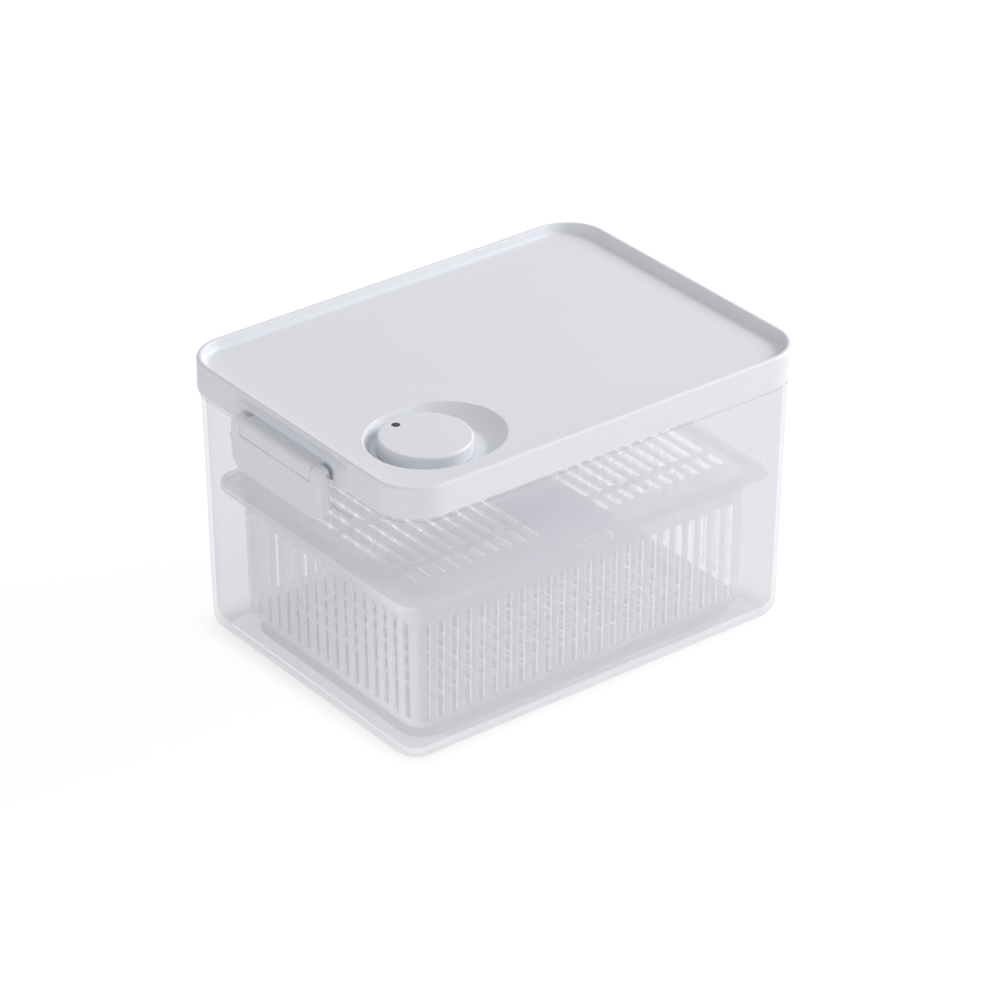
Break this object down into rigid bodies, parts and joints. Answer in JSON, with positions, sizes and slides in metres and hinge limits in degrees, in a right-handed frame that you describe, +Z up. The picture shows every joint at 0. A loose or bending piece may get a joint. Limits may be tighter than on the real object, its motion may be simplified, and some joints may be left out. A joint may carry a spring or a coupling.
{
  "type": "fridge storage box",
  "caption": "Clear rectangular food storage box with a latched lid, a rotating vent dial, and a slotted drain basket under a slotted cover.",
  "frame": {"origin": "centre of the box on the plane it stands on", "axes": "+X along the long side, away from the dial; +Y towards the back; +Z up through the lid"},
  "size_m": [0.298, 0.2088, 0.1732],
  "materials": {
    "clear_tub": "clear moulded plastic",
    "clear_inner": "clear moulded plastic",
    "white_lid": "satin white plastic",
    "white_dial": "satin white plastic",
    "white_latch": "satin white plastic",
    "seal": "soft silicone",
    "black_dot": "black plastic",
    "steel": "plain steel"
  },
  "bodies": {
    "tub_body": {"tub": "clear_tub"},
    "lid_body": {"lid_shell": "white_lid", "lid_seal": "seal", "pin_left": "steel", "pin_right": "steel"},
    "dial_body": {"dial_knob": "white_dial", "dial_dot": "black_dot", "dial_washer": "seal", "dial_shutter": "white_dial", "dial_screw": "steel"},
    "latch_left_body": {"latch_left": "white_latch"},
    "latch_right_body": {"latch_right": "white_latch"},
    "basket_body": {"drain_basket": "clear_inner"},
    "cover_body": {"cover_plate": "clear_inner"}
  },
  "joints": [
    {"name": "lid_lift", "type": "slide", "parent": "tub_body", "child": "lid_body", "axis": [0, 0, 1], "range_m": [0, 0.06]},
    {"name": "latch_left_swing", "type": "hinge", "parent": "lid_body", "child": "latch_left_body", "pos_m": [-0.1432, 0, 0.1595], "axis": [0, 1, 0], "range_deg": [0, 90]},
    {"name": "latch_right_swing", "type": "hinge", "parent": "lid_body", "child": "latch_right_body", "pos_m": [0.1432, 0, 0.1595], "axis": [0, -1, 0], "range_deg": [0, 90]},
    {"name": "dial_turn", "type": "hinge", "parent": "lid_body", "child": "dial_body", "pos_m": [-0.0866, -0.0513, 0.162], "axis": [0, 0, 1], "range_deg": [0, 90]},
    {"name": "basket_lift", "type": "slide", "parent": "tub_body", "child": "basket_body", "axis": [0, 0, 1], "range_m": [0, 0.028]},
    {"name": "cover_lift", "type": "slide", "parent": "basket_body", "child": "cover_body", "axis": [0, 0, 1], "range_m": [0, 0.028]}
  ],
  "couplings": [
    {"joint": "latch_left_swing", "follows": "lid_lift", "rad_per_m": 26.179},
    {"joint": "latch_right_swing", "follows": "lid_lift", "rad_per_m": 26.179}
  ]
}
